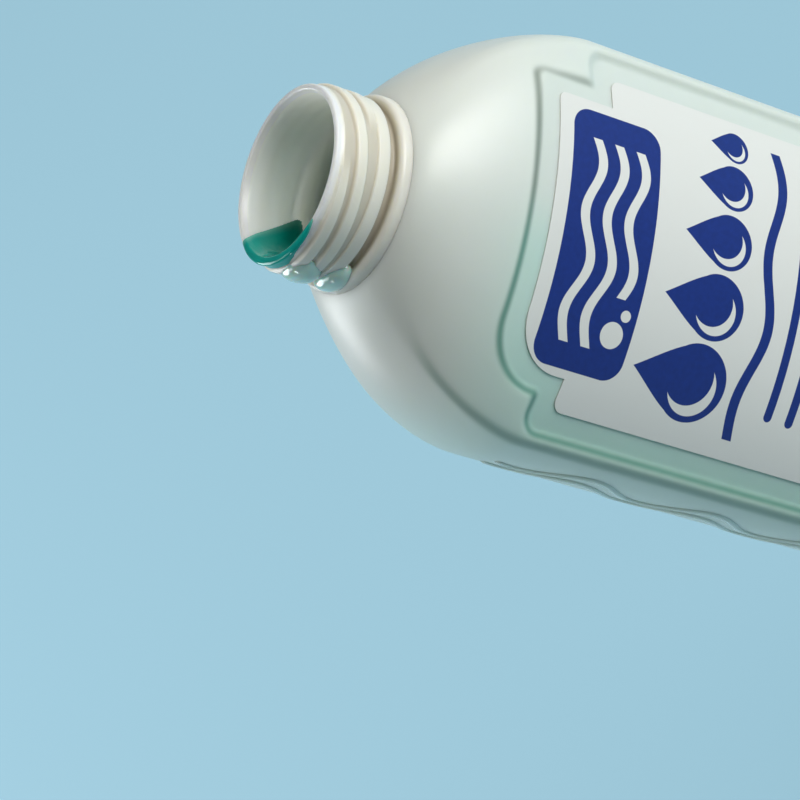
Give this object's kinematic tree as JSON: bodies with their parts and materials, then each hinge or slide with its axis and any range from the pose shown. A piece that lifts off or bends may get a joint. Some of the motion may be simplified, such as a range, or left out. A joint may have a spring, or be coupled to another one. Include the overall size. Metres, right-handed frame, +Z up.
{
  "type": "laundry detergent bottle",
  "caption": "Blow-moulded bottle of oval section with a domed shoulder, open threaded neck, label panel and liquid detergent inside.",
  "frame": {"origin": "centre of the base, on the surface it stands on", "axes": "+Z up through the mouth, the label faces -Y, the label's right-hand side is +X"},
  "size_m": [0.0957, 0.059, 0.262],
  "materials": {
    "bottle_plastic": "satin, milky translucent",
    "detergent_liquid": "clear teal liquid",
    "label_film": "satin printed film"
  },
  "bodies": {
    "root": {"bottle": "bottle_plastic", "detergent": "detergent_liquid", "front_label": "label_film"}
  },
  "joints": []
}
